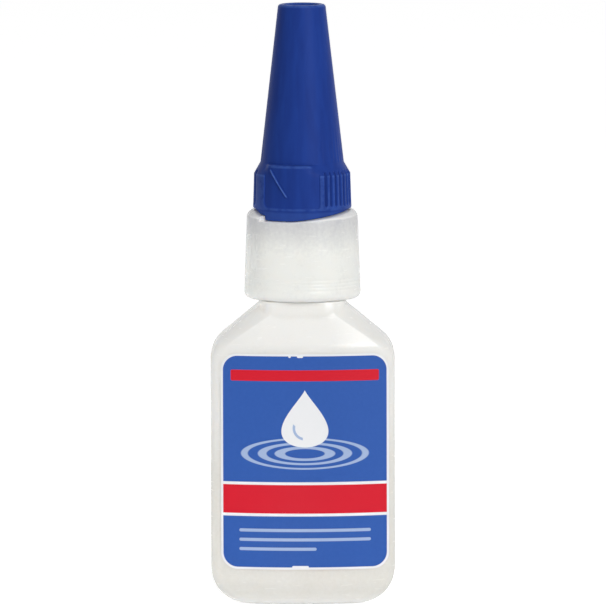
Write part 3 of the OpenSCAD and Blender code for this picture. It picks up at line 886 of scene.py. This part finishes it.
# %% The cap's driving sizes, in millimetres
cap_high = box_mm("cap")[1]
PANEL_ANGLE = 74.0
PANEL_FOOT_Z = 76.32
PAD_TOP_Z = 84.3
PANEL_DEPTH = 0.2
RIB_PITCH = 7.5
FIRST_FLUTE = PANEL_ANGLE + 7.575
FLUTES = 11
FLUTE_HALF = 0.34
FLUTE_DEPTH = 0.3
FLUTE_LOW_Z = 76.6
FLUTE_HIGH_Z = 83.3
# A faint trace of each flute goes on up the cone
TRACE_DEPTH = 0.05
TRACE_Z = 85.0
TRACE_HEIGHT = 8.0
SKIRT_R = cap_high.x
SKIRT_TAPER = 0.2
SLEEVE_R = SKIRT_R - 0.3
SKIRT_IN_R = 7.66
SKIRT_Z = 75.92
SKIRT_TOP_Z = 82.5
CONE_Z = 84.7
CONE_R = 8.01
CAP_TOP_R = 4.6
RIM_ROUND = 0.6
RIM_Z = cap_high.z - RIM_ROUND
flute_phases = [FIRST_FLUTE + RIB_PITCH * i for i in range(FLUTES)]


def upright_skirt(z):
    """Radius of the skirt's upright side, also above its slope. The height may be a shader's."""
    return SKIRT_R - SKIRT_TAPER * (z - SKIRT_Z) / (SKIRT_TOP_Z - SKIRT_Z)


def skirt_slope(z):
    """Radius of the slope from the skirt's top in to the cone. The height may be a shader's."""
    share = (z - SKIRT_TOP_Z) / (CONE_Z - SKIRT_TOP_Z)
    return SKIRT_R - SKIRT_TAPER + (CONE_R - SKIRT_R + SKIRT_TAPER) * share


print("skirt radius", round(SKIRT_R, 2), "and", len(flute_phases), "flutes on each half")

# %% Finish of the cap
cap_blue = Finish("blue_cap_plastic", {"IOR": 1.5, "Specular IOR Level": 0.05})
flow = cap_blue.noise(cap_blue.stretched(1.0, 1.0, 0.12), 0.5, 3.0)
grain = cap_blue.noise(cap_blue.place, 5.0, 2.0)
tone = cap_blue.mix(flow.rise(0.3, 0.7), screen(31, 57, 134), screen(34, 64, 146))
radius = cap_blue.from_axis()
on_skirt = cap_blue.z.rise(75.8, 75.95) * (1.0 - cap_blue.z.rise(84.0, 84.3))
proud = radius - upright_skirt(cap_blue.z)
# Painted highlights on the panel's top edge, the rib tops and the cap's top rim, and lighter rib crests that
# are partly wear and partly painted highlight, broken up by patchy noise
patchiness = cap_blue.noise(cap_blue.place, 0.9, 4.0).rise(0.2, 0.6)
pad_edge_highlight = cap_blue.z.rise(83.9, 84.25) * (1.0 - cap_blue.z.rise(84.6, 84.7)) * radius.rise(8.5, 8.8)
rib_top_highlight = cap_blue.z.rise(82.1, 82.4) * (1.0 - cap_blue.z.rise(82.55, 82.7)) * proud.rise(-0.15, -0.08)
edges = on_skirt * proud.rise(-0.12, -0.02) * 0.25 + cap_blue.z.rise(114.4, 114.9) * 0.5
edges = edges + pad_edge_highlight * 0.35 + rib_top_highlight * 0.25
# Painted light on the sleeve below the skirt, and a painted highlight on the crest of the raised stroke
sleeve_painted_light = (1.0 - cap_blue.z.rise(75.3, 75.9)) * 0.2
wear_and_painted_highlights = (edges * patchiness + sleeve_painted_light + on_skirt * proud.rise(0.0, 0.02) * 0.6).at_most(1.0)
tone = cap_blue.mix(wear_and_painted_highlights, tone, screen(78, 112, 190))
sunk = radius - upright_skirt(cap_blue.z).at_most(skirt_slope(cap_blue.z))
# Painted shade in the flutes, where the skirt is sunk deeper than the panel
painted_flute_shade = on_skirt * (1.0 - cap_blue.z.rise(83.1, 83.4)) * (1.0 - sunk.rise(-0.27, -0.2)) * 0.5
cap_blue.feed("Base Color", cap_blue.mix(painted_flute_shade, tone, screen(18, 34, 92)))
cap_blue.feed("Roughness", 0.36 + grain * 0.12 - wear_and_painted_highlights * 0.05)
cap_blue.bump(grain * 0.4 + flow * 0.6, 0.04)
print("cap finish has", len(cap_blue.tree.nodes), "nodes")

# %% The skirt's relief
def smooth_skirt(z):
    """Radius of the cap's outside without its relief."""
    if z <= SKIRT_TOP_Z:
        return upright_skirt(z)
    if z <= CONE_Z:
        return skirt_slope(z)
    return CONE_R + (CAP_TOP_R - CONE_R) * (z - CONE_Z) / (RIM_Z - CONE_Z)


def flute(phase, z, low, high):
    """How deep the flutes are here, from 0 to 1, with round ends at low and high."""
    nearest = min(flute_phases, key=lambda middle: abs(phase - middle))
    across = math.radians(phase - nearest) * SKIRT_R
    beyond = max(low + FLUTE_HALF - z, z - high + FLUTE_HALF, 0.0)
    return 1.0 - ease(math.hypot(across, beyond) / FLUTE_HALF - 0.35)


def panel_recess(phase, z):
    """How far the panel is sunk here, from 0 to 1. Its foot has round corners and its head is open."""
    half_s = math.radians(PANEL_ANGLE / 2) * SKIRT_R
    s = math.radians(((phase - PANEL_ANGLE / 2 + 90) % 180) - 90) * SKIRT_R
    corner = 1.2 if s < 0 else 0.5
    du = abs(s) - (half_s - corner)
    dv = PANEL_FOOT_Z + corner - z
    edge = math.hypot(max(du, 0.0), max(dv, 0.0)) + min(max(du, dv), 0.0) - corner
    return 1.0 - ease((edge + 0.16) / 0.2)


def pad_radius(z):
    """Radius of the panel, which goes straight up and has a round top edge."""
    upright = upright_skirt(z) - PANEL_DEPTH
    share = max(0.0, z - PAD_TOP_Z) / (CONE_Z - PAD_TOP_Z)
    return CONE_R + (upright - CONE_R) * math.sqrt(max(0.0, 1.0 - share**2))


def cap_radius(angle, z):
    """Radius of the cap's outside at an angle and height, with the panel and the flutes."""
    phase = (angle - STEP_ANGLE) % 180.0
    radius = smooth_skirt(z)
    if z <= CONE_Z:
        cut = FLUTE_DEPTH * flute(phase, z, FLUTE_LOW_Z, FLUTE_HIGH_Z)
        cut = max(cut, PANEL_DEPTH * panel_recess(phase, z) * (1.0 - ease((z - SKIRT_TOP_Z) / 0.6)))
        if z <= SKIRT_TOP_Z:
            return radius - cut
        inward = phase if phase < 150.0 else phase - 180.0
        pad = ease((inward + 6.0) / 14.0) * ease((PANEL_ANGLE - inward) / 20.0)
        return radius - cut + max(0.0, pad_radius(z) - radius + cut) * pad
    trace = flute(phase, z, 84.9, 99.0) * (1.0 - ease((z - TRACE_Z) / TRACE_HEIGHT))
    return radius - TRACE_DEPTH * trace


# %% Build the cap
SKIRT_ROWS = [76.12 + 0.13 * i for i in range(8)] + [77.3 + 0.65 * i for i in range(8)]
SKIRT_ROWS += [82.3, 82.5, 82.68, 82.82, 82.96, 83.1, 83.24, 83.4, 83.7, 84.0]
CONE_ROWS = [84.2, 84.3, 84.42, 84.53, 84.61, 84.66, 84.69, CONE_Z, 84.85, 85.2]
CONE_ROWS += [86, 87, 88, 89.5, 91, 93, 97, 101, 105, 109, 112]
HOLLOW_R = 3.3
HOLLOW_Z = 111.5
ROOF_Z = 109.5
HOLDER_BORE_R = 1.81
CAVITY_Z = 80.6


def cap_foot(angle):
    """Height of the cap's cam face, which keeps clear of the collar's and of its step."""
    phase = (angle - STEP_ANGLE) % 180.0
    if phase < 1.2:
        return COLLAR_TOP_Z - CAM_FALL + 0.12
    return cam_height(angle) + 0.12


def cap_section(angle):
    """The cap's section at one angle, from its foot up the outside and down the inside."""
    foot = cap_foot(angle)
    points = [(SKIRT_IN_R + 0.15, foot), (SLEEVE_R - 0.16, foot), (SLEEVE_R - 0.05, foot + 0.05)]
    slope_z = max(75.3, foot + 0.18)
    points += [(SLEEVE_R, foot + 0.16), (SLEEVE_R, slope_z)]
    points += [(SLEEVE_R + 0.12, slope_z + (SKIRT_Z - slope_z) * 0.45), (SKIRT_R - 0.05, SKIRT_Z)]
    points += [(cap_radius(angle, z), z) for z in SKIRT_ROWS + CONE_ROWS]
    points += arc(CAP_TOP_R - RIM_ROUND, RIM_Z, RIM_ROUND, 6, 90, 8)
    top = cap_high.z
    points += [(HOLLOW_R + 0.3, top), (HOLLOW_R + 0.09, top - 0.09), (HOLLOW_R, top - 0.3)]
    points += [(HOLLOW_R, HOLLOW_Z + 0.2), (HOLLOW_R - 0.2, HOLLOW_Z), (HOLDER_BORE_R, HOLLOW_Z)]
    points += [(HOLDER_BORE_R, ROOF_Z), (3.2, ROOF_Z), (3.4, ROOF_Z - 0.2)]
    points += [(6.81, CAVITY_Z + 0.05), (SKIRT_IN_R - 0.1, CAVITY_Z), (SKIRT_IN_R, CAVITY_Z - 0.1)]
    points += [(SKIRT_IN_R, 77.5), (SKIRT_IN_R, foot + 0.15)]
    return [turned(radius, z, angle) for radius, z in points]


extra = [-0.6, -0.12, 0.02, 0.5, 1.15, 1.25, 1.8]
extra += [middle + offset for middle in flute_phases for offset in (-2.0, -1.5, -0.9, 0, 0.9, 1.5, 2.0)]
extra += [edge + 0.45 * i for edge in (0.0, PANEL_ANGLE) for i in range(-18, 19)]
cap_angles = angles_with(extra)
bm = bmesh.new()
ring, lane_layer = start_ring(bm, cap_section(cap_angles[0]))
raise_rings(bm, ring, lane_layer, [cap_section(a) for a in cap_angles[1:]])
print("cap is swept through", len(cap_angles), "angles")

# %% The raised stroke on each panel
MARK_HALF = 0.2
MARK_PROUD = 0.27
# Angle and height at which the stroke starts, and how far it goes in each
MARK_START = (-43.0, 83.95)
MARK_RUN = (25.2, -5.65)


def stroke_section(share, half_turn):
    """The stroke's section, a low round ridge that lies on the panel, at a share of its length."""
    angle = MARK_START[0] + MARK_RUN[0] * share
    z = MARK_START[1] + MARK_RUN[1] * share
    narrow = math.sqrt(max(0.02, min(1.0, share * 14, (1.0 - share) * 14)))
    points = []
    for i in range(7):
        a = math.pi * i / 6
        across = -MARK_HALF * math.cos(a) * narrow
        up = MARK_PROUD * math.sin(a) * narrow
        height = z + across * 0.55
        turn = angle + math.degrees(across * 0.83 / SKIRT_R)
        points.append(turned(upright_skirt(height) - PANEL_DEPTH + up, height, turn + half_turn))
    return points


for half_turn in (0.0, 180.0):
    stroke = bmesh.new()
    ring, lane_layer = start_ring(stroke, stroke_section(0.0, half_turn))
    bmesh.ops.contextual_create(stroke, geom=ring)
    ring = raise_rings(stroke, ring, lane_layer, [stroke_section(i / 24, half_turn) for i in range(1, 25)])
    bmesh.ops.contextual_create(stroke, geom=ring)
    bmesh.ops.recalc_face_normals(stroke, faces=stroke.faces)
    loose = bpy.data.meshes.new("stroke")
    stroke.to_mesh(loose)
    stroke.free()
    bm.from_mesh(loose)
    bpy.data.meshes.remove(loose)
make_piece(bm, "cap_moulding", cap_blue.material, "cap", ["cap"], 38.0)

# %% [markdown]
# ## The pin and its holder
# A thin steel pin under the cap's roof keeps the bore of the spout open. A small insert of milky plastic
# holds it, and its head shows in the hollow at the top of the cap. Both are round, so both are spun.

# %% The holder and the pin
holder_low, holder_high = box_mm("pin_holder")
pin_low, pin_high = box_mm("cap_pin")
# The holder is painted darker downwards, deeper in the cap, a painted shade
holder_plastic = milky_plastic(
    "milky_holder_plastic", screen(236, 237, 233), screen(226, 226, 222), 112.0, 108.0, 1.0
)
bm = bmesh.new()
HOLDER_SECTION = [
    (0.0, holder_high.z - 0.2), (0.55, holder_high.z - 0.2), (0.75, holder_high.z), (2.64, holder_high.z),
    (2.64, 111.55), (1.75, 111.55), (1.75, holder_low.z), (0.46, holder_low.z), (0.46, 111.25), (0.0, 111.25),
]
lathe(bm, HOLDER_SECTION, {3: 0.2, 6: 0.25})
make_piece(bm, "holder_insert", holder_plastic, "holder", ["pin_holder"], 40.0)

steel = Finish("drawn_steel", {"Metallic": 1.0})
drawn = steel.noise(steel.stretched(6.0, 6.0, 0.15), 1.0, 3.0)
steel.feed("Base Color", steel.mix(drawn, screen(196, 198, 203), screen(168, 170, 176)))
steel.feed("Roughness", 0.2 + drawn * 0.2)
bm = bmesh.new()
PIN_SECTION = [(0.0, pin_high.z), (0.4, pin_high.z), (0.4, pin_low.z + 0.5)]
PIN_SECTION += [(0.2, pin_low.z), (0.0, pin_low.z)]
lathe(bm, PIN_SECTION, {1: 0.06, 3: 0.1}, 48)
make_piece(bm, "steel_pin", steel.material, "pin", ["cap_pin"], 40.0)

# %% [markdown]
# ## Floor, light and camera
# The bottle stands on a plain white floor in soft light. The floor is white for the camera because part of
# its light is its own, seen by camera and reflected rays alone, and the rest is lit, so it keeps the
# object's shadow. A square key lamp stands at the front right and a wide one high at the front. Two
# narrow strips, one at the left and one low at the front, lift the wall where the photo shows it pale.


# %% The world and the floor
def seen_directly(graph):
    """1 for camera rays and for rays that a surface reflects or lets through, otherwise 0."""
    path = graph.node("ShaderNodeLightPath", {}, {}, "Is Camera Ray")
    return path.at_least(path.also("Is Glossy Ray")).at_least(path.also("Is Transmission Ray"))


AMBIENT = 0.3
FLOOR_GLOW = 0.7
FLOOR_SPILL = (0.08, 0.08, 0.08, 1)
FLOOR_HALF = 8.0
world = bpy.data.worlds.new("white_studio")
world.use_nodes = True
bpy.context.scene.world = world
sky = Graph(world.node_tree)
background = world.node_tree.nodes["Background"]
background.inputs["Color"].default_value = (1.0, 1.0, 1.0, 1.0)
sky.fill(background.inputs["Strength"], AMBIENT + seen_directly(sky) * (1.0 - AMBIENT))

floor_finish = Finish("white_floor", {"Roughness": 0.9, "Specular IOR Level": 0.0})
mottle = floor_finish.noise(floor_finish.place, 0.004, 2.0)
floor_finish.feed("Base Color", floor_finish.mix(mottle, screen(246, 246, 246), screen(243, 243, 243)))
floor_finish.shader.inputs["Emission Strength"].default_value = FLOOR_GLOW
own_light = floor_finish.mix(seen_directly(floor_finish), FLOOR_SPILL, (1, 1, 1, 1))
floor_finish.feed("Emission Color", own_light)
bm = bmesh.new()
bmesh.ops.create_grid(bm, x_segments=8, y_segments=8, size=FLOOR_HALF)
floor_mesh = bpy.data.meshes.new("floor")
bm.to_mesh(floor_mesh)
bm.free()
floor_mesh.materials.append(floor_finish.material)
floor = bpy.data.objects.new("floor", floor_mesh)
bpy.context.scene.collection.objects.link(floor)
print("floor and world ready")


# %% The lamps and the camera
def soft_lamp(name, place, width, height, power, aim, spread=180.0):
    """A flat lamp. With a small spread its light goes straight ahead, and no surface mirrors it."""
    lamp = bpy.data.lights.new(name, "AREA")
    lamp.shape = "RECTANGLE"
    lamp.size = width
    lamp.size_y = height
    lamp.energy = power
    lamp.spread = math.radians(spread)
    holder = bpy.data.objects.new(name, lamp)
    holder.visible_glossy = spread > 90.0
    holder.location = place
    holder.rotation_euler = (Vector(aim) - Vector(place)).to_track_quat("-Z", "Y").to_euler()
    bpy.context.scene.collection.objects.link(holder)
    print(name, "at", place, power, "W")


soft_lamp("key_lamp", (0.58, -0.9, 0.5), 0.45, 0.45, 5.8, (0, 0, 0.06))
soft_lamp("front_lamp", (0.1, -0.85, 0.8), 1.3, 0.35, 2.2, (0, 0, 0.06))
soft_lamp("left_strip", (-0.27, -0.03, 0.038), 0.14, 0.076, 0.011, (0, 0, 0.038), 4.0)
soft_lamp("low_strip", (-0.03, -0.3, 0.01), 0.3, 0.02, 0.0025, (0, 0, 0.01), 12.0)

CAMERA_DISTANCE = 2.5
CAMERA_HEIGHT = 0.305
CAMERA_ROLL = -0.14
PHOTO_PIXELS = 606
PIXEL_MM = 0.1921
aim = Vector((0.0001, 0.0, 0.0574))
camera_data = bpy.data.cameras.new("camera")
camera_data.sensor_width = 36.0
view_width = PHOTO_PIXELS * PIXEL_MM * MM
camera = bpy.data.objects.new("camera", camera_data)
camera.location = (aim.x, -CAMERA_DISTANCE, CAMERA_HEIGHT)
reach = (aim - camera.location).length
camera_data.lens = camera_data.sensor_width * reach / view_width
turn = (aim - camera.location).to_track_quat("-Z", "Y").to_euler()
turn.rotate_axis("Z", math.radians(CAMERA_ROLL))
camera.rotation_euler = turn
camera_data.clip_end = 50.0
bpy.context.scene.collection.objects.link(camera)
bpy.context.scene.camera = camera
bpy.context.scene.view_settings.view_transform = "Standard"
print("lens", round(camera_data.lens, 1), "mm at", round(reach, 3), "m")

# %% [markdown]
# ## Last step
# The view layer is brought up to date.

# %% Finish
bpy.context.view_layer.update()
